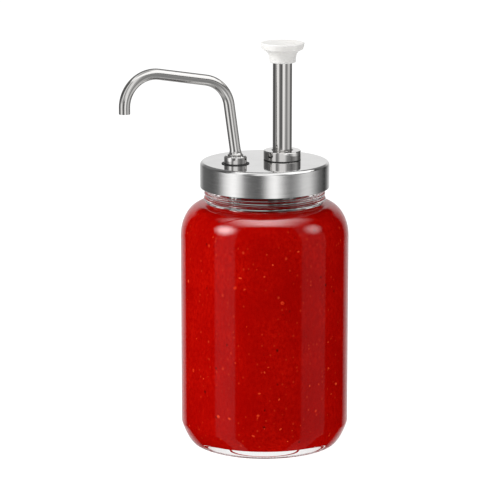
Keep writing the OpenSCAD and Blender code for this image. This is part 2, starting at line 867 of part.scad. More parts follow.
module piston_screw() {
    color("silver") at_pump() union() {
        rod(screw_head_r, piston_low - screw_head_h, screw_head_h);
        rod(screw_r, piston_low - lap, piston_h + spigot_h + screw_bite + lap);
    }
}

glass_jar();
lid_gasket();
lid_shell();
lid_liner();
pump_collar();
collar_washer();
head_washer();
pump_head();
guide_bush();
plunger_wiper();
bayonet_pins();
pump_cylinder();
cylinder_gasket();
return_spring();
valve_body();
passage_plug();
inlet_ball();
outlet_ball();
inlet_stop_pin();
outlet_stop_pin();
suction_tube();
pipe_gland_nut();
pipe_seal();
discharge_pipe();
spout_fitting();
fitting_washer();
spout_washer();
spout_nut();
spout_seal();
spout_tube();
knob();
knob_stud();
plunger_tube();
plunger_foot();
piston();
piston_rings();
piston_screw();
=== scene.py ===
import math

import bpy
import numpy as np
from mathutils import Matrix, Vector


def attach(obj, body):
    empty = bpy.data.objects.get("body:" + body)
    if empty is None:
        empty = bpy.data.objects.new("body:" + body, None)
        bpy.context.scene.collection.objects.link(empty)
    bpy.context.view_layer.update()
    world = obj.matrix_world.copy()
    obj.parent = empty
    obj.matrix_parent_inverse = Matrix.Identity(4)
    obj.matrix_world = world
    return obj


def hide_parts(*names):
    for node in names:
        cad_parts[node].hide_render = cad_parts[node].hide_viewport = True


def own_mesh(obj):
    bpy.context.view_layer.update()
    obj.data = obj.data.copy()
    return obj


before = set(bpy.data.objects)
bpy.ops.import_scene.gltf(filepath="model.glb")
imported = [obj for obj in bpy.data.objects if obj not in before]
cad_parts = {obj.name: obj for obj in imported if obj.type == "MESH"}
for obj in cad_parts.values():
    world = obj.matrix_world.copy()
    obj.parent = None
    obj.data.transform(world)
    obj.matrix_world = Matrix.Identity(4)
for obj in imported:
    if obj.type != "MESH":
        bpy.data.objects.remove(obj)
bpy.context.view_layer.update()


# The glass jar is one blown piece of clear soda glass: a stippled ring to stand on, a push-up under the
# floor, a rounded heel and shoulder, and a neck with two beads and six thread ridges. It stands on the
# table by its ring and carries everything else on its rim.
def arc(x, z, rx, rz, start, end, steps):
    """An elliptical arc about (x, z): x plus rx times the cosine and z plus rz times the sine of an
    angle that runs from start to end, in degrees."""
    t = np.radians(np.linspace(start, end, steps + 1))
    return np.column_stack((x + rx * np.cos(t), z + rz * np.sin(t)))


def mesh_piece(name, points, faces, crease=32):
    """A finished object from points in millimetres and lists of face corners. Edges that turn by more
    than crease degrees stay sharp and the rest shade smooth."""
    mesh = bpy.data.meshes.new(name)
    mesh.from_pydata(np.asarray(points) * 0.001, [], faces)
    mesh.update()
    mesh.shade_smooth()
    mesh.set_sharp_from_angle(angle=math.radians(crease))
    piece = bpy.data.objects.new(name, mesh)
    bpy.context.scene.collection.objects.link(piece)
    return piece


def grid_faces(rows, sides, closed=False):
    """The four-cornered faces between neighbouring rings of a grid of rows by sides points, and between
    the last ring and the first where it is closed."""
    i, j = np.meshgrid(np.arange(rows if closed else rows - 1), np.arange(sides), indexing="ij")
    k, m = (i + 1) % rows, (j + 1) % sides
    return np.stack((i * sides + j, i * sides + m, k * sides + m, k * sides + j), -1).reshape(-1, 4)


def skinned(name, rings, first, last, crease):
    """A closed skin through rings of points, one row of the grid each, with a pole point at each end."""
    rows, sides = rings.shape[:2]
    points = np.vstack((rings.reshape(-1, 3), [first], [last]))
    edge = np.arange(sides)
    after = (edge + 1) % sides
    low, high = np.full(sides, rows * sides), np.full(sides, rows * sides + 1)
    faces = grid_faces(rows, sides).tolist()
    faces += np.column_stack((low, after, edge)).tolist()
    faces += np.column_stack((high, (rows - 1) * sides + edge, (rows - 1) * sides + after)).tolist()
    return mesh_piece(name, points, faces, crease)


def turned(name, section, sides, shaped, crease):
    """A turned piece: point (r, z) of the section at angle a is (r cos a, r sin a, z), and the first and
    last points are poles. shaped(r, z, a) gives moulded detail as changed grids of r and z."""
    section = np.asarray(section, float)
    a = np.arange(sides) * 2 * np.pi / sides
    r, z, a = np.broadcast_arrays(section[1:-1, :1], section[1:-1, 1:], a[None, :])
    r, z = shaped(r, z, a)
    rings = np.stack((r * np.cos(a), r * np.sin(a), z), -1)
    return skinned(name, rings, [0, 0, section[0][1]], [0, 0, section[-1][1]], crease)


def add(tree, kind, inputs=(), **settings):
    """Adds a shader node with these settings, and gives each input a value or the socket that feeds it."""
    node = tree.nodes.new(kind)
    for key, value in settings.items():
        setattr(node, key, value)
    for key, value in dict(inputs).items():
        if isinstance(value, bpy.types.NodeSocket):
            tree.links.new(value, node.inputs[key])
        else:
            node.inputs[key].default_value = value
    return node


def work(tree, operation, first, second=0.0):
    """The result of one sum on two values."""
    return add(tree, "ShaderNodeMath", {0: first, 1: second}, operation=operation).outputs[0]


def blend(tree, share, low, high, mode="MIX"):
    """A colour that goes from low to high as share goes from 0 to 1, or low changed by high in another
    mode as far as share says."""
    mixed = add(tree, "ShaderNodeMix", {0: share, 6: low, 7: high}, data_type="RGBA", blend_type=mode)
    return mixed.outputs[2]


def noise(tree, place, scale, detail):
    """Cloudy noise from 0 to 1 at this place."""
    return add(tree, "ShaderNodeTexNoise", {"Vector": place, "Scale": scale, "Detail": detail}).outputs[0]


def on_object(tree, stretch=(1, 1, 1)):
    """The place on the object in metres, with each axis multiplied by its part of stretch."""
    place = add(tree, "ShaderNodeTexCoord").outputs["Object"]
    return add(tree, "ShaderNodeMapping", {"Vector": place, "Scale": stretch}).outputs[0]


def finish(name, **plain):
    """A new material, its tree, and its Principled shader with these plain values."""
    material = bpy.data.materials.new(name)
    material.use_nodes = True
    tree = material.node_tree
    tree.nodes.clear()
    shader = add(tree, "ShaderNodeBsdfPrincipled", {k.replace("_", " "): v for k, v in plain.items()})
    add(tree, "ShaderNodeOutputMaterial", {"Surface": shader.outputs[0]})
    return material, tree, shader


body_r, heel_top, shoulder_z, shoulder_top = 76.16, 19.7, 192.1, 221.9
glass_wall, floor_top, foot_r, foot_step_r = 4.0, 8.5, 66.2, 67.1
neck_r, mouth_r, neck_low, rim_z = 53.3, 48.8, 224.0, 257.0
shoulder_r, rim_round, wall_end, wall_rows = 55.4, 1.4, 13, 6
root_r, root_w, root_h = 56.2, 2.9, 1.9
thread_low, thread_high, thread_rows = 241.6, 247.0, 16
floor_r, heel_w, heel_h = 58.2, 14, 18

# The push-up and the standing ring are rows of radius and height. The heel is a superellipse of this
# power, which starts over the ring's step.
foot_ring = [
    [0, 2.5], [30, 2.4], [55.2, 2.1], [60.2, 1.0], [61.2, 0.5], [61.6, 0.1], [61.9, 0], [63.0, 0], [64.2, 0],
    [65.3, 0], [65.8, 0.15], [66.2, 0.6], [66.65, 0.8], [foot_step_r, 1.0], [foot_step_r, 1.6],
]
heel_power, heel_low = 1.24, 2.3
turn = np.radians(np.linspace(0, 90, 33))
heel = np.column_stack((
    foot_r + (body_r - foot_r) * np.sin(turn) ** (2 / heel_power),
    heel_top * (1 - np.cos(turn) ** (2 / heel_power)),
))

# Two beads and two fine rings run round the neck, each with its height, its radius and its steps.
beads = [(226.5, 1.8, 12), (229.1, 0.5, 6), (231.3, 1.4, 12), (233.7, 0.6, 6)]
shoulder_w, shoulder_h = body_r - shoulder_r, shoulder_top - shoulder_z
glass_outside = np.vstack((
    foot_ring,
    heel[heel[:, 1] > heel_low],
    np.column_stack((
        np.full(wall_rows, body_r), np.linspace(heel_top + wall_end, shoulder_z - wall_end, wall_rows)
    )),
    arc(shoulder_r, shoulder_z, shoulder_w, shoulder_h, 0, 86, 26),
    arc(root_r, neck_low, root_w, root_h, 270, 180, 8),
    *[arc(neck_r, bead_z, bead_r, bead_r, -90, 90, steps) for bead_z, bead_r, steps in beads],
    np.column_stack((np.full(thread_rows, neck_r), np.linspace(thread_low, thread_high, thread_rows))),
    arc(neck_r - rim_round, rim_z - rim_round, rim_round, rim_round, 0, 90, 8),
))

# The inside runs one wall under the shoulder, square to its slope, and bends up from there to the mouth.
slope = np.radians(np.linspace(78, 0, 21))
tilt = np.column_stack((np.cos(slope) / shoulder_w, np.sin(slope) / shoulder_h))
tilt /= np.linalg.norm(tilt, axis=1)[:, None]
shoulder_inside = np.column_stack((
    shoulder_r + shoulder_w * np.cos(slope), shoulder_z + shoulder_h * np.sin(slope)
)) - glass_wall * tilt
bend_x, bend_low = shoulder_inside[0]
bend_z = neck_low + 2
glass_inside = np.vstack((
    arc(mouth_r + rim_round, rim_z - rim_round, rim_round, rim_round, 90, 180, 8),
    arc(bend_x, bend_z, bend_x - mouth_r, bend_z - bend_low, 180, 265, 16),
    shoulder_inside,
    arc(floor_r, floor_top + heel_h, heel_w, heel_h, 0, -90, 16),
    [[30, floor_top], [0, floor_top]],
))

# The thread's ridges fade out over these degrees at their ends and these heights at their lower and upper
# edges. The stipple covers the ring's underside and its outer edge, below and outside of these.
ridges, ridge_deep, ridge_low, ridge_high = 6, 1.45, 242.3, 246.3
end_fade, low_fade, high_fade = 2, 0.6, 1.2
dents, dent_deep, dent_high, dent_row = 150, 0.34, 0.16, 0.6
stipple_top, stipple_r, edge_r = 2.1, 61.4, 65.5


def moulded(r, z, a):
    """The thread's ridges, each over the first half of its share of the neck and faded out at its ends
    and edges, and the foot's stipple: dents by a cosine of a, shifted by half a wave from row to row."""
    turned_by = np.degrees(a) % (360 / ridges)
    along = np.clip(turned_by / end_fade, 0, 1) * np.clip((180 / ridges - turned_by) / end_fade, 0, 1)
    height = np.clip((z - ridge_low) / low_fade, 0, 1) * np.clip((ridge_high - z) / high_fade, 0, 1)
    ridge = ridge_deep * along * height * ((r > neck_r - 0.1) & (z > 241))
    foot = np.clip((stipple_top - z) / 0.4, 0, 1) * np.clip((r - stipple_r) / 0.5, 0, 1)
    dent = 0.5 - 0.5 * np.cos(dents * a + np.pi * np.round(z / dent_row))
    return r + ridge - dent_deep * foot * dent * (r > edge_r), z + dent_high * foot * dent * (z < 0.4)


# Three sides of the jar go to a dent, which is enough to show it and keeps the mesh light.
jar_section = np.vstack((glass_outside, glass_inside))
jar_glass = turned("jar_glass", jar_section, sides=3 * dents, shaped=moulded, crease=50)
clear_glass, tree, shader = finish(
    "clear_glass", Roughness=0.0, IOR=1.5, Transmission_Weight=1.0, Metallic=0.0
)
ripple = noise(tree, on_object(tree, (9, 9, 4)), 1.0, 1.0)
tree.links.new(blend(tree, ripple, (0.985, 0.985, 0.98, 1), (1, 1, 1, 1)), shader.inputs["Base Color"])
waves = add(tree, "ShaderNodeBump", {"Height": ripple, "Strength": 0.05, "Distance": 0.002})
tree.links.new(waves.outputs[0], shader.inputs["Normal"])

# Shadow rays and diffuse rays pass straight through the glass. So does a ray that comes off the steel, which
# is glossy but not sharp as one off glass is, so that the steel shows no bent lines of the jar.
surface = shader.outputs[0].links[0].to_socket
path = add(tree, "ShaderNodeLightPath")
lit = work(tree, "MAXIMUM", path.outputs["Is Shadow Ray"], path.outputs["Is Diffuse Ray"])
off_steel = work(tree, "GREATER_THAN", path.outputs["Is Glossy Ray"], path.outputs["Is Singular Ray"])
passed = work(tree, "MAXIMUM", lit, off_steel)
through = add(tree, "ShaderNodeBsdfTransparent", {"Color": (0.97, 0.97, 0.97, 1)})
both = add(tree, "ShaderNodeMixShader", {0: passed, 1: shader.outputs[0], 2: through.outputs[0]})
tree.links.new(both.outputs[0], surface)
jar_glass.data.materials.append(clear_glass)
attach(jar_glass, "jar")
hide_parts("glass_jar")


# The sauce fills the jar up to the root of its neck. It is thick and opaque, red, with pulp, pale flakes
# and a few dark specks in it. It wets the wall, leaves a thin film of air over the flat floor, stands round
# the space that the pump's cylinder sweeps as the lid turns, and stays in the jar when the lid comes off.
def step(tree, value, low, high, start=0.0, end=1.0):
    """The value carried from low to high onto start to end, and held beyond them."""
    spans = {"Value": value, "From Min": low, "From Max": high, "To Min": start, "To Max": end}
    return add(tree, "ShaderNodeMapRange", spans).outputs[0]


# The inner wall, moved by wetting into the glass, is the sauce's side. The section's rows are a radius, a
# height and a share of the well, which grows from 0 at the wall to 1 at the well's edge.
wetting, floor_air, sauce_top, well_r, well_low = 0.12, 0.1, 221.5, 13.7, 126.0
wall_top, flat_r, top_rows, sauce_sides = 222.3, 57.6, 9, 160
sauce_floor = floor_top + floor_air
inner = glass_inside[glass_inside[:, 1] < wall_top][:-2]
along = np.gradient(inner, axis=0)
aside = np.column_stack((-along[:, 1], along[:, 0])) / np.linalg.norm(along, axis=1)[:, None]
wetted = inner + wetting * aside
wetted = wetted[wetted[:, 1] < sauce_top + 0.5]
to_well = np.linspace(0, 1, top_rows)
top_r = wetted[0, 0] * (1 - to_well) + well_r * to_well
section = np.vstack((
    [[30, sauce_floor, 0], [flat_r, sauce_floor, 0]],
    np.column_stack((wetted[::-1], np.zeros(len(wetted)))),
    np.column_stack((top_r, np.full(top_rows, sauce_top), to_well)),
    [[well_r, sauce_top - 1, 1], [well_r, 180, 1], [well_r, 140, 1], [well_r, well_low, 1]],
))

# A row's point at angle a is r (cos a, sin a) round the jar's axis. In the well, half of each ring stands
# round the pump's place at rest and half round its place after two half turns, so it is a rounded slot.
pump_x, half_turn = 17.5, math.radians(15)
a = np.arange(sauce_sides) * 2 * np.pi / sauce_sides
r, z, well = (section[:, n, None] for n in range(3))
middle_x, middle_y = pump_x * math.cos(half_turn) ** 2, -pump_x * math.cos(half_turn) * math.sin(half_turn)
swung = pump_x * math.sin(half_turn) * np.sign(np.cos(a + half_turn - np.pi / 2))
x = well * (middle_x + swung * math.sin(half_turn)) + r * np.cos(a)
y = well * (middle_y + swung * math.cos(half_turn)) + r * np.sin(a)
rings = np.stack(np.broadcast_arrays(x, y, z), -1)
sauce = skinned("sauce", rings, [0, 0, sauce_floor], [middle_x, middle_y, well_low], 60)
deep_pulp, light_pulp = (0.35, 0.0006, 0.0002, 1), (0.50, 0.0047, 0.0016, 1)
clouded_pulp = (0.34, 0.0009, 0.0004, 1)
red_sauce, tree, shader = finish("red_sauce", Roughness=0.6, Specular_IOR_Level=0.0)
cloud = step(tree, noise(tree, on_object(tree, (34, 34, 26)), 1.0, 3.0), 0.32, 0.68)
mottle = step(tree, noise(tree, on_object(tree, (420, 420, 300)), 1.0, 4.0), 0.30, 0.70)
pulp = blend(tree, mottle, deep_pulp, light_pulp)
specked = blend(tree, work(tree, "MULTIPLY", cloud, 0.7), pulp, clouded_pulp)

# The flecks are small pale flakes, larger ones, and dark specks: their number per metre, their size as a
# share of their spacing, the share of places left bare, and their colour.
flecks = [
    (300.0, 0.34, 0.86, (0.53, 0.021, 0.007, 1)),
    (150.0, 0.22, 0.93, (0.58, 0.030, 0.010, 1)),
    (190.0, 0.28, 0.95, (0.10, 0.003, 0.002, 1)),
]
for per_metre, size, bare, tint in flecks:
    grit = add(tree, "ShaderNodeTexVoronoi", {"Vector": on_object(tree, (1, 1, 0.8)), "Scale": per_metre})
    fleck = step(tree, grit.outputs["Distance"], 0.3 * size, size, 1.0, 0.0)
    picked = add(tree, "ShaderNodeSeparateColor", {"Color": grit.outputs["Color"]})
    shown = work(tree, "MULTIPLY", fleck, work(tree, "GREATER_THAN", picked.outputs[0], bare))
    specked = blend(tree, shown, specked, tint)

# A ray that comes off the steel meets a dull grey, so that the steel mirrors no red line.
mirrored_sauce = (0.16, 0.15, 0.15, 1)
path = add(tree, "ShaderNodeLightPath")
off_steel = work(tree, "GREATER_THAN", path.outputs["Is Glossy Ray"], path.outputs["Is Singular Ray"])
tree.links.new(blend(tree, off_steel, specked, mirrored_sauce), shader.inputs["Base Color"])
sauce.data.materials.append(red_sauce)
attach(sauce, "jar")


# The seeds and bits of skin hang in the sauce against the glass. They are flat, shaped like lenses and
# orange-red, and they stay where the sauce holds them.
def seeds_on_wall(name, count, seed):
    """Small lenses on the inner wall: each is a sphere pressed flat along the wall's radius and
    stretched along its own direction, which lies in the wall at a random turn."""
    pick = np.random.default_rng(seed)
    rows, sides = 5, 8
    polar, around = np.radians([28, 62, 90, 118, 152]), np.arange(sides) * np.pi / 4
    p, q = np.meshgrid(polar, around, indexing="ij")
    ball = np.stack((np.sin(p) * np.cos(q), np.sin(p) * np.sin(q), np.cos(p)), -1).reshape(-1, 3)
    ball = np.vstack((ball, [[0, 0, 1], [0, 0, -1]]))
    length = 0.6 + 1.5 * pick.uniform(0, 1, count) ** 2
    width = length * pick.uniform(0.45, 0.9, count)
    turn_by = pick.uniform(0, np.pi, count)
    place_a, place_z = pick.uniform(0, 2 * np.pi, count), pick.uniform(16, 205, count)
    wall_r = np.interp(place_z, wetted[::-1, 1], wetted[::-1, 0])
    depth = pick.uniform(-0.16, 0.02, count)
    u, v = ball[None, :, 0] * length[:, None], ball[None, :, 1] * width[:, None]
    s = u * np.cos(turn_by)[:, None] - v * np.sin(turn_by)[:, None]
    t = u * np.sin(turn_by)[:, None] + v * np.cos(turn_by)[:, None]
    r = (wall_r + depth)[:, None] + 0.22 * ball[None, :, 2]
    a = place_a[:, None] + s / wall_r[:, None]
    points = np.stack((r * np.cos(a), r * np.sin(a), place_z[:, None] + t), -1).reshape(-1, 3)
    quads = grid_faces(rows, sides)
    edge = np.arange(sides)
    after, last, poles = (edge + 1) % sides, (rows - 1) * sides, rows * sides
    caps = np.vstack((
        np.column_stack((np.full(sides, poles), edge, after)),
        np.column_stack((np.full(sides, poles + 1), last + after, last + edge)),
    ))
    starts = np.arange(count)[:, None, None] * (poles + 2)
    faces = (quads[None, :, ::-1] + starts).reshape(-1, 4).tolist()
    faces += (caps[None] + starts).reshape(-1, 3).tolist()
    return mesh_piece(name, points, faces, 80)


seeds = seeds_on_wall("sauce_seeds", count=150, seed=7)
deep_seed, light_seed = (0.61, 0.022, 0.006, 1), (0.78, 0.060, 0.018, 1)
seed_skin, tree, shader = finish("seed_skin", Roughness=0.6, Specular_IOR_Level=0.0)
shade = step(tree, noise(tree, on_object(tree, (120, 120, 120)), 1.0, 1.0), 0.35, 0.65)
tree.links.new(blend(tree, shade, deep_seed, light_seed), shader.inputs["Base Color"])
seeds.data.materials.append(seed_skin)
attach(seeds, "jar")


# The lid is one sheet of stainless steel, drawn and spun: a flat mirror-bright top, a rounded edge and a
# straight satin skirt. Two holes in its top carry the pump and the spout.
def paint(material, *names):
    """Gives these CAD nodes this finish in all their material slots."""
    for name in names:
        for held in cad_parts[name].material_slots:
            held.material = material


def effect(name, given, kept):
    """A new shader node group with these inputs and outputs: the group, its input sockets and its output
    node."""
    group = bpy.data.node_groups.new(name, "ShaderNodeTree")
    for side, sockets in (("INPUT", given), ("OUTPUT", kept)):
        for label, kind in sockets.items():
            group.interface.new_socket(label, in_out=side, socket_type="NodeSocket" + kind)
    return group, group.nodes.new("NodeGroupInput").outputs, group.nodes.new("NodeGroupOutput")


# Every stainless piece has a haze over it and the lines of its brushing. Both change its gloss a little,
# and the lines darken it by streak.
steel_wear, given, kept = effect(
    "steel_wear",
    {"Place": "Vector", "Grain": "Vector", "Steel": "Color", "Smooth": "Float", "Streak": "Float"},
    {"Colour": "Color", "Roughness": "Float", "Height": "Float"},
)
haze = noise(steel_wear, given["Place"], 45.0, 3.0)
lines = noise(steel_wear, given["Grain"], 1.0, 3.0)
dull = work(steel_wear, "MULTIPLY", step(steel_wear, lines, 0.35, 0.65, 1.0, 0.0), given["Streak"])
toned = blend(steel_wear, dull, given["Steel"], (0.0, 0.0, 0.0, 1))
spread = step(steel_wear, work(steel_wear, "ADD", haze, lines), 0.7, 1.3, 0.8, 1.25)
rough = work(steel_wear, "MULTIPLY", given["Smooth"], spread)
for socket, label in [(toned, "Colour"), (rough, "Roughness"), (lines, "Height")]:
    steel_wear.links.new(socket, kept.inputs[label])


def steel(name, colour, smooth, stretch, depth=0.0, streak=0.07, unrolled=None):
    """A stainless finish: its colour, its roughness as a number or a maker of a socket, and its brushing,
    which runs along the axis that stretch makes small, is depth metres deep and darkens by streak. An
    unrolled piece has its straight coordinates in an attribute of that name."""
    material, tree, shader = finish(name, Metallic=1.0)
    wear = add(tree, "ShaderNodeGroup", node_tree=steel_wear)
    tree.links.new(on_object(tree), wear.inputs["Place"])
    if unrolled:
        straight = add(tree, "ShaderNodeAttribute", attribute_name=unrolled).outputs["Vector"]
        grain = add(tree, "ShaderNodeMapping", {"Vector": straight, "Scale": stretch}).outputs[0]
    else:
        grain = on_object(tree, stretch)
    tree.links.new(grain, wear.inputs["Grain"])
    wear.inputs["Streak"].default_value = streak
    wear.inputs["Steel"].default_value = (*colour, 1)
    if callable(smooth):
        tree.links.new(smooth(tree), wear.inputs["Smooth"])
    else:
        wear.inputs["Smooth"].default_value = smooth
    tree.links.new(wear.outputs["Colour"], shader.inputs["Base Color"])
    tree.links.new(wear.outputs["Roughness"], shader.inputs["Roughness"])
    if depth:
        brushed = {"Height": wear.outputs["Height"], "Strength": 0.3, "Distance": depth}
        tree.links.new(add(tree, "ShaderNodeBump", brushed).outputs[0], shader.inputs["Normal"])
    return material


def lid_gloss(tree):
    """Satin on the skirt and nearly a mirror on the flat top and its rolled edge, by how far the surface
    looks up."""
    skirt, top = 0.18, 0.05
    looks = add(tree, "ShaderNodeSeparateXYZ", {0: add(tree, "ShaderNodeTexCoord").outputs["Normal"]})
    return step(tree, looks.outputs[2], 0.02, 0.25, skirt, top)


paint(steel("lid_steel", (0.66, 0.655, 0.65), smooth=lid_gloss, stretch=(60, 60, 900)), "lid_shell")


# The collar is a round stainless nut on the pump head's thread, turned and polished. It clamps the lid.
# The spout's domed nut is its small brother, screwed onto the fitting that stands up through the lid.
bright_steel = steel("bright_steel", (0.67, 0.66, 0.65), smooth=0.05, stretch=(50, 50, 1500))
paint(bright_steel, "pump_collar", "spout_nut")


# The plunger is a drawn stainless tube with a fine satin along its length. It slides in the pump head, and
# a plug in each end holds the knob above and the piston below.
plunger_steel = steel("plunger_steel", (0.68, 0.665, 0.65), smooth=0.08, stretch=(900, 900, 9), streak=0.3)
paint(plunger_steel, "plunger_tube")


# The spout is a drawn stainless tube, polished lengthwise, bent three times and cut off square at its tip.
# A flare rests on its nut and a flange under the nut holds it, so that it turns in the fitting.
def bent_path(x, z, lengths, bends, bend_r, spacing):
    """The middle of a tube that starts straight up from (x, z) and leans toward -X: straight lengths
    with an arc of bend_r after each but the last. The answer is rows of x, z, the lean in radians and
    the length along the tube."""
    rows, lean, far = [[x, z, 0.0, 0.0]], 0.0, 0.0
    for length, bend in zip(lengths, bends + [0.0]):
        s = np.linspace(0, length, max(2, int(length / spacing)))[1:]
        rows += np.column_stack((
            x - s * np.sin(lean), z + s * np.cos(lean), np.full_like(s, lean), far + s,
        )).tolist()
        x, z, far = rows[-1][0], rows[-1][1], far + length
        if bend:
            t = np.radians(np.linspace(0, bend, int(bend / 2.5) + 3)[1:])
            rows += np.column_stack((
                x - bend_r * (np.cos(lean) - np.cos(lean + t)),
                z + bend_r * (np.sin(lean + t) - np.sin(lean)),
                lean + t,
                far + bend_r * t,
            )).tolist()
            x, z, lean, far = rows[-1]
    return np.array(rows)


def tube_rings(path, radius, sides):
    """Round rings square to the path: its middle plus radius times (cos a across the lean, sin a along
    Y), and the same rings on the straight tube that the path unrolls to."""
    a = np.arange(sides) * 2 * np.pi / sides
    x, z, lean, far = (path[:, n, None] for n in range(4))
    r = np.asarray(radius, float)[:, None] * np.ones_like(a)
    rings = np.stack((x + r * np.cos(a) * np.cos(lean), r * np.sin(a), z + r * np.cos(a) * np.sin(lean)), -1)
    straight = np.stack(np.broadcast_arrays(r * np.cos(a), r * np.sin(a), far), -1)
    return rings, straight


spout_x, spout_foot, lean_z, tube_r, tube_bore, tube_sides = -29.2, 250.4, 269.1, 5.0, 4.2, 96
middle = bent_path(
    spout_x, spout_foot, lengths=[lean_z - spout_foot, 41.5, 46, 5.5], bends=[8.2, 71.6, 100.2], bend_r=28.0,
    spacing=1.5,
)

# The foot's rows of radius and height are the plain end, the flange under the nut and the flare on it. From
# there the outside runs on to the tip, and the bore comes back along the same path.
foot = np.array([
    [tube_r, 250.4], [tube_r, 265.2], [7.35, 265.25], [7.35, 266.35], [tube_r, 266.4], [tube_r, 268.1],
    [7.15, 268.15], [7.15, 268.6], [6.55, 268.95], [6.0, 269.45], [5.6, 270.2], [5.35, 271.1],
    [5.15, 272.3], [tube_r, 273.6],
])
flare_top = 273.7
beyond = middle[middle[:, 3] > flare_top - spout_foot]
at = np.array([np.interp(foot[:, 1] - spout_foot, middle[:, 3], middle[:, n]) for n in range(4)]).T
outer = np.vstack((at, beyond))
outer_r = np.concatenate((foot[:, 0], np.full(len(beyond), tube_r)))
skin = np.vstack((outer, outer[-1:], middle[::-1]))
skin_r = np.concatenate((outer_r, np.full(len(middle) + 1, tube_bore)))
rings, straight = tube_rings(skin, skin_r, tube_sides)
skin_faces = grid_faces(len(rings), tube_sides, closed=True).tolist()
spout_tube = mesh_piece("spout_pipe", rings.reshape(-1, 3), skin_faces, 40)
drawn = spout_tube.data.attributes.new("drawn", "FLOAT_VECTOR", "POINT")
drawn.data.foreach_set("vector", (straight.reshape(-1, 3) * 0.001).ravel())
spout_steel = steel(
    "spout_steel", (0.69, 0.68, 0.665), smooth=0.13, stretch=(800, 800, 6), streak=0.3, unrolled="drawn"
)
spout_tube.data.materials.append(spout_steel)
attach(spout_tube, "spout")
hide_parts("spout_tube")


# The knob is one thick moulding of white plastic with a dished top, screwed onto the plunger's stud. It
# lets a little light in under its skin.
# Every moulded or rubber piece clouds between two colours and has a fine grain that changes its gloss.
plastic_skin, given, kept = effect(
    "plastic_skin",
    {"Place": "Vector", "Light": "Color", "Deep": "Color", "Smooth": "Float"},
    {"Colour": "Color", "Roughness": "Float", "Height": "Float"},
)
clouding = step(plastic_skin, noise(plastic_skin, given["Place"], 60.0, 3.0), 0.3, 0.7)
texture = noise(plastic_skin, given["Place"], 900.0, 2.0)
shade = blend(plastic_skin, clouding, given["Deep"], given["Light"])
rough = work(plastic_skin, "MULTIPLY", given["Smooth"], step(plastic_skin, texture, 0.3, 0.7, 0.88, 1.12))
for socket, label in [(shade, "Colour"), (rough, "Roughness"), (texture, "Height")]:
    plastic_skin.links.new(socket, kept.inputs[label])


def plastic(name, light, deep, smooth, depth, **plain):
    """A moulded finish that clouds between two colours, with a fine skin of this depth in metres."""
    material, tree, shader = finish(name, **plain)
    skin = add(tree, "ShaderNodeGroup", node_tree=plastic_skin)
    tree.links.new(on_object(tree), skin.inputs["Place"])
    skin.inputs["Light"].default_value = (*light, 1)
    skin.inputs["Deep"].default_value = (*deep, 1)
    skin.inputs["Smooth"].default_value = smooth
    tree.links.new(skin.outputs["Colour"], shader.inputs["Base Color"])
    tree.links.new(skin.outputs["Roughness"], shader.inputs["Roughness"])
    grained = {"Height": skin.outputs["Height"], "Strength": 0.3, "Distance": depth}
    tree.links.new(add(tree, "ShaderNodeBump", grained).outputs[0], shader.inputs["Normal"])
    return material


knob_white = plastic(
    "knob_white", light=(0.86, 0.85, 0.83), deep=(0.83, 0.815, 0.79), smooth=0.42, depth=0.00002,
    Subsurface_Weight=0.5, Subsurface_Radius=(1, 1, 1), Subsurface_Scale=0.004,
)
paint(knob_white, "knob")


# Black rubber seals: the thin washers under both nuts, the washers that clamp the pump head and the
# fitting, the wiper round the plunger, the rings of the piston, and the seals of the pipe and the spout.
black_rubber = plastic(
    "black_rubber", light=(0.03, 0.03, 0.03), deep=(0.012, 0.012, 0.012), smooth=0.55, depth=0.00003
)
paint(
    black_rubber, "collar_washer", "spout_washer", "head_washer", "fitting_washer", "plunger_wiper",
    "piston_rings", "cylinder_gasket", "pipe_seal", "spout_seal",
)


# The gasket between the glass rim and the lid is a soft pale ring, and the liner pressed into the skirt
# is a moulded ring of pale plastic with the six lugs that turn under the thread ridges.
soft_white = plastic(
    "soft_white", light=(0.76, 0.76, 0.74), deep=(0.70, 0.70, 0.68), smooth=0.7, depth=0.00004
)
paint(soft_white, "lid_gasket")
liner_plastic = plastic(
    "liner_plastic", light=(0.72, 0.73, 0.74), deep=(0.66, 0.67, 0.69), smooth=0.45, depth=0.00002
)
paint(liner_plastic, "lid_liner")


# The plunger's guide bush and the piston are turned from off-white plastic that runs dry on steel. The
# bush sits in the pump head, and the piston is held to the plunger's foot by its screw.
pump_plastic = plastic(
    "pump_plastic", light=(0.78, 0.75, 0.66), deep=(0.72, 0.69, 0.60), smooth=0.5, depth=0.00002
)
paint(pump_plastic, "guide_bush", "piston")


# The pump's turned parts are plain stainless: the threaded head through the lid, the valve body with its
# plug and pins, the gland nut and the spout's fitting, and the plugs, stud and screw in the plunger.
turned_steel = steel("turned_steel", (0.60, 0.59, 0.58), smooth=0.28, stretch=(70, 70, 2200), depth=0.00002)
paint(
    turned_steel, "pump_head", "bayonet_pins", "valve_body", "passage_plug", "inlet_stop_pin",
    "outlet_stop_pin", "pipe_gland_nut", "spout_fitting", "knob_stud", "plunger_foot", "piston_screw",
)


# The pump cylinder, the suction tube and the discharge pipe are cut from drawn stainless tube, with faint
# lines along them.
drawn_steel = steel("drawn_steel", (0.62, 0.61, 0.60), smooth=0.22, stretch=(1400, 1400, 15))
paint(drawn_steel, "pump_cylinder", "suction_tube", "discharge_pipe")


# The two valve balls are ground and polished stainless. Each lies loose on its seat in the valve body,
# and the flow lifts it until its pin stops it.
ball_steel = steel("ball_steel", (0.70, 0.69, 0.68), smooth=0.04, stretch=(200, 200, 200))
paint(ball_steel, "inlet_ball", "outlet_ball")


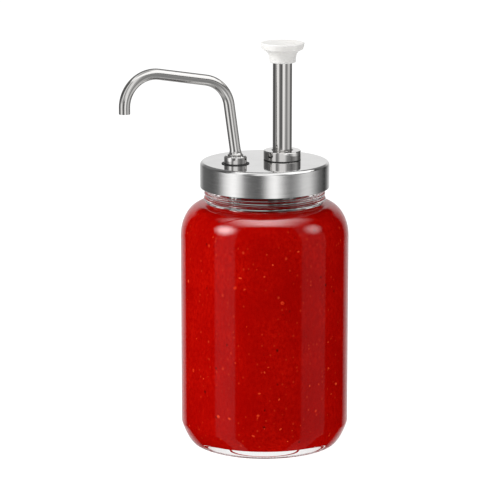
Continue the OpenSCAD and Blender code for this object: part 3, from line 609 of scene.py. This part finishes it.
# The return spring is wound from bright stainless wire, with a closed turn at each end. It stands in the
# cylinder under the piston, and the plunger presses it together.
def wound(name, x, radius, wire, low, high, turns, sides=12, steps=56):
    """A helical wire: its middle is (x + radius cos t, radius sin t, z), where t runs through the turns.
    z climbs by one wire over the first and the last turn and evenly between them. Each ring stands
    square to the wire, and a pole point closes each end."""
    t = np.linspace(0, turns, int(turns * steps) + 1)
    z = np.interp(t, [0, 1, turns - 1, turns], [low, low + 2 * wire, high - 2 * wire, high])
    out = np.column_stack((np.cos(2 * np.pi * t), np.sin(2 * np.pi * t), np.zeros_like(t)))
    middle = radius * out + np.column_stack((np.full_like(t, x), np.zeros_like(t), z))
    ahead = np.gradient(middle, axis=0)
    ahead /= np.linalg.norm(ahead, axis=1)[:, None]
    up = np.cross(ahead, out)
    a = np.arange(sides) * 2 * np.pi / sides
    across = np.cos(a)[None, :, None] * out[:, None] + np.sin(a)[None, :, None] * up[:, None]
    return skinned(name, middle[:, None] + wire * across, middle[0], middle[-1], 60)


coil = wound("return_coil", x=pump_x, radius=10.0, wire=0.8, low=124.49, high=229.25, turns=13)
spring_steel = steel("spring_steel", (0.50, 0.49, 0.48), smooth=0.2, stretch=(260, 260, 260))
coil.data.materials.append(spring_steel)
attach(coil, "lid")
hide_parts("return_spring")
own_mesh(coil)


# The camera stands left of the front and looks down at the jar from 2.4 m through a long lens. Its place,
# its turn and its lens were fitted to the outlines of the jar, the lid, the knob and the spout.
pitch = math.radians(12.60)
facing = math.radians(25.5)
focal_pixels, picture_pixels = 2593.80, 500
camera_data = bpy.data.cameras.new("photo_camera")
camera_data.sensor_width = 36.0
camera_data.lens = camera_data.sensor_width * focal_pixels / picture_pixels
camera = bpy.data.objects.new("photo_camera", camera_data)
camera.location = (-1.0022, -2.0702, 0.6920)
camera.rotation_euler = (math.pi / 2 - pitch, 0, -facing)
bpy.context.scene.collection.objects.link(camera)
bpy.context.scene.camera = camera


# The table is a wide white sheet. It shows white to the camera and through the glass, takes a soft shadow
# from the lamps and isn't mirrored in the steel. It also glows for the rays that matt surfaces send out. That
# is painted bounce light, which lights the object from below as a lamp would.
wide = 9000
floor_corners = [[-wide, -wide, 0], [wide, -wide, 0], [wide, wide, 0], [-wide, wide, 0]]
floor = mesh_piece("floor", floor_corners, [[0, 1, 2, 3]])
pale_floor = bpy.data.materials.new("pale_floor")
pale_floor.use_nodes = True
tree = pale_floor.node_tree
tree.nodes.clear()
path = add(tree, "ShaderNodeLightPath")
spread = add(tree, "ShaderNodeSeparateXYZ", {0: on_object(tree)})
sideways = work(tree, "MULTIPLY", spread.outputs[0], -math.sin(facing))
ahead = work(tree, "ADD", sideways, work(tree, "MULTIPLY", spread.outputs[1], -math.cos(facing)))
through = work(tree, "MULTIPLY", path.outputs["Is Transmission Ray"], step(tree, ahead, 0.15, 0.4, 1.0, 0.0))
seen = work(tree, "MAXIMUM", path.outputs["Is Camera Ray"], through)
shown_white, painted_bounce_glow = 0.95, 0.90
# The floor's glow for diffuse rays is painted bounce light: it lights the object's undersides as a lamp
# would, and is not its matt colour.
around = work(tree, "MULTIPLY", path.outputs["Is Diffuse Ray"], painted_bounce_glow)
glow = work(tree, "ADD", work(tree, "MULTIPLY", seen, shown_white), around)
white_part = add(tree, "ShaderNodeEmission", {"Color": (1, 1, 1, 1), "Strength": glow})
matt = add(tree, "ShaderNodeBsdfDiffuse", {"Color": (0.30, 0.30, 0.30, 1)})
total = add(tree, "ShaderNodeAddShader", {0: white_part.outputs[0], 1: matt.outputs[0]})
add(tree, "ShaderNodeOutputMaterial", {"Surface": total.outputs[0]})
floor.data.materials.append(pale_floor)
floor.visible_glossy = False


# Three soft boxes light the matt surfaces: a strong one at the left, a weak one at the right and one
# above. The steel and the glass mirror the painted studio below instead.
def from_camera(azimuth, elevation):
    """The direction at this azimuth from the camera's side, positive to the picture's right, and at this
    elevation, both in degrees."""
    a, e = math.radians(azimuth), math.radians(elevation)
    right, near = math.sin(a), math.cos(a)
    x = right * math.cos(facing) - near * math.sin(facing)
    y = -right * math.sin(facing) - near * math.cos(facing)
    return Vector((x * math.cos(e), y * math.cos(e), math.sin(e)))


jar_middle = Vector((0, 0, 0.18))


def softbox(name, azimuth, elevation, distance, width, height, power):
    """A rectangular lamp at this distance in metres that looks at the jar's middle."""
    data = bpy.data.lights.new(name, "AREA")
    data.shape = "RECTANGLE"
    data.size, data.size_y = width, height
    data.energy = power
    lamp = bpy.data.objects.new(name, data)
    way = from_camera(azimuth, elevation)
    lamp.location = jar_middle + way * distance
    lamp.rotation_euler = way.to_track_quat("Z", "Y").to_euler()
    bpy.context.scene.collection.objects.link(lamp)
    lamp.visible_glossy = False
    lamp.visible_transmission = False


softbox("key", azimuth=-70, elevation=30, distance=1.6, width=0.8, height=1.2, power=16.5)
softbox("fill", azimuth=78, elevation=28, distance=1.6, width=0.6, height=1.0, power=3.2)
softbox("top", azimuth=0, elevation=80, distance=1.4, width=1.0, height=1.0, power=6.8)


# The studio round the object is painted on the sky: bands of light and dark by azimuth from the camera,
# one set for the steel and one for the glass, under a bright ceiling. The camera sees plain white.
world = bpy.data.worlds.new("studio")
bpy.context.scene.world = world
world.use_nodes = True
tree = world.node_tree
tree.nodes.clear()
sky = add(tree, "ShaderNodeTexCoord").outputs["Generated"]
way = add(tree, "ShaderNodeMapping", {"Vector": sky, "Rotation": (0, 0, facing)}).outputs[0]
axes = add(tree, "ShaderNodeSeparateXYZ", {0: way})
right, height = axes.outputs[0], axes.outputs[2]
near = work(tree, "MULTIPLY", axes.outputs[1], -1.0)
share = step(tree, work(tree, "ARCTAN2", right, near), -math.pi, math.pi)


def grey(value):
    """A grey of this brightness."""
    return (value, value, value, 1)


def ramp(place, stops):
    """The brightness at this place from 0 to 1, by stops of place and brightness."""
    made = add(tree, "ShaderNodeValToRGB", {0: place})
    for n, (position, value) in enumerate(stops):
        stop = made.color_ramp.elements[n] if n < 2 else made.color_ramp.elements.new(1.0)
        stop.position = position
        stop.color = grey(value)
    return made.outputs[0]


def round_band(stops):
    """A ring of light round the object: stops of azimuth in degrees and brightness."""
    return ramp(share, [((angle + 180) / 360, value) for angle, value in stops])


def by_height(low, high, below, above, level=height):
    """below up to the elevation low, above from the elevation high, in degrees."""
    s = step(tree, level, math.sin(math.radians(low)), math.sin(math.radians(high)))
    return blend(tree, s, below, above)


# The steel's studio has a low ring for upright surfaces, a middle ring for rounded edges, a bright ceiling
# and, far below the table, a ramp by depth. Above 2 to 5 degrees the low ring stays under a cap, so that the
# lid's flat top doesn't mirror its strips at full strength.
low_metal = round_band([
    (-180, 0.95), (-150, 0.40), (-141, 0.18), (-107, 0.13), (-92, 0.22), (-84, 0.55), (-74, 1.1), (-62, 1.5),
    (-54, 1.5), (-44, 1.0), (-36, 0.4), (-28, 0.22), (-12, 0.14), (-6, 0.18), (2, 0.7), (8, 1.25), (19, 1.55),
    (26, 1.1), (36, 0.5), (46, 0.28), (60, 0.52), (72, 0.92), (86, 0.96), (100, 0.5), (111, 0.22), (126, 0.1),
    (134, 0.03), (144, 0.25), (160, 0.8), (180, 0.95),
])
mid_metal = round_band([
    (-180, 0.24), (-130, 0.24), (-84, 0.06), (-72, 0.3), (-64, 1.3), (-45, 1.3), (-38, 0.3), (-26, 0.4),
    (-14, 1.2), (14, 1.2), (30, 0.4), (48, 0.3), (60, 0.12), (120, 0.12), (150, 0.24), (180, 0.24),
])
depths = [(-90, 0.25), (-68, 0.29), (-54, 0.7), (-42, 0.4)]
under_metal = ramp(
    step(tree, height, -1.0, 0.0), [(1 + math.sin(math.radians(angle)), value) for angle, value in depths]
)
cap = round_band([(-180, 0.95), (-150, 0.95), (-120, 0.7), (120, 0.7), (150, 0.95), (180, 0.95)])
low_metal = by_height(2, 5, low_metal, blend(tree, 1.0, low_metal, cap, "DARKEN"))
low_metal = by_height(-42, -35, under_metal, low_metal)

# The low ring ends lower toward the camera. The ceiling starts lower at the right and higher at the back,
# and it is dimmer straight above, where the lid's top would mirror it to a camera high up.
low_dip, ceiling_right, ceiling_back = 0.114, 0.5, 0.35
sinking = work(tree, "ADD", height, work(tree, "MULTIPLY", near, low_dip))
lower = work(tree, "MULTIPLY", work(tree, "MAXIMUM", right, 0.0), ceiling_right)
higher = work(tree, "MULTIPLY", work(tree, "MINIMUM", near, 0.0), ceiling_back)
leaning = work(tree, "ADD", work(tree, "ADD", height, lower), higher)
overhead = by_height(66, 77, grey(1.7), grey(0.8))
metal = by_height(7.5, 15.6, low_metal, by_height(52, 57, mid_metal, overhead, leaning), sinking)

# The glass mirrors two tall strips, a bright back, a soft ceiling that fades to both sides, and a round
# glow at the left and at the right.
low_glass = round_band([
    (-180, 0.7), (-158, 0.7), (-143, 0.3), (-138, 0.0), (-74, 0.0), (-71, 0.19), (-43, 0.24), (-40, 0.0),
    (50, 0.0), (53, 0.14), (90, 0.14), (93, 0.0), (137, 0.0), (143, 0.3), (158, 0.7), (180, 0.7),
])
mid_glass = round_band([
    (-180, 0.0), (-138, 0.0), (-74, 0.0), (-71, 0.3), (-43, 0.3), (-40, 0.0), (50, 0.0), (53, 0.2), (90, 0.2),
    (93, 0.0), (137, 0.0), (180, 0.0),
])
side_fade, ceiling_power, lowest = 4.3, 7.5, 0.3
above = work(tree, "MAXIMUM", height, lowest)
aside, before = work(tree, "DIVIDE", right, above), work(tree, "DIVIDE", near, above)
fade = work(tree, "EXPONENT", work(tree, "MULTIPLY", work(tree, "MULTIPLY", aside, aside), -side_fade))
reach = work(tree, "MULTIPLY", step(tree, before, 0.56, 0.30), step(tree, before, -0.5, -0.2))
ceiling = work(tree, "MULTIPLY", work(tree, "MULTIPLY", fade, reach), ceiling_power)
glass = by_height(18, 24, low_glass, by_height(44, 50, mid_glass, ceiling))
for at, radius, power in [((-66, 35), 19, 13.0), ((80, 31), 17, 4.5)]:
    turned_to = add(tree, "ShaderNodeVectorMath", {0: sky, 1: from_camera(*at)}, operation="DOT_PRODUCT")
    inside = step(tree, turned_to.outputs["Value"], math.cos(math.radians(radius)), 1.0)
    inside = work(tree, "MULTIPLY", inside, inside)
    glass = blend(tree, 1.0, glass, blend(tree, inside, grey(0.0), grey(power)), "ADD")

# The matt surfaces get a plain grey light from the sky. Glass is the one surface whose mirrored rays are
# sharp. Through the glass, the sky behind the object is white.
matt_light = 0.42
path = add(tree, "ShaderNodeLightPath")
shiny = blend(tree, path.outputs["Is Singular Ray"], metal, glass)
soft = blend(tree, path.outputs["Is Glossy Ray"], grey(matt_light), shiny)
through = work(tree, "MULTIPLY", path.outputs["Is Transmission Ray"], step(tree, near, 0.0, 0.35, 1.0, 0.0))
bent = blend(tree, path.outputs["Is Transmission Ray"], soft, glass)
shown = blend(tree, work(tree, "MAXIMUM", path.outputs["Is Camera Ray"], through), bent, grey(1.0))
backdrop = add(tree, "ShaderNodeBackground", {"Color": shown})
add(tree, "ShaderNodeOutputWorld", {"Surface": backdrop.outputs[0]})

bpy.context.scene.view_settings.view_transform = "Standard"
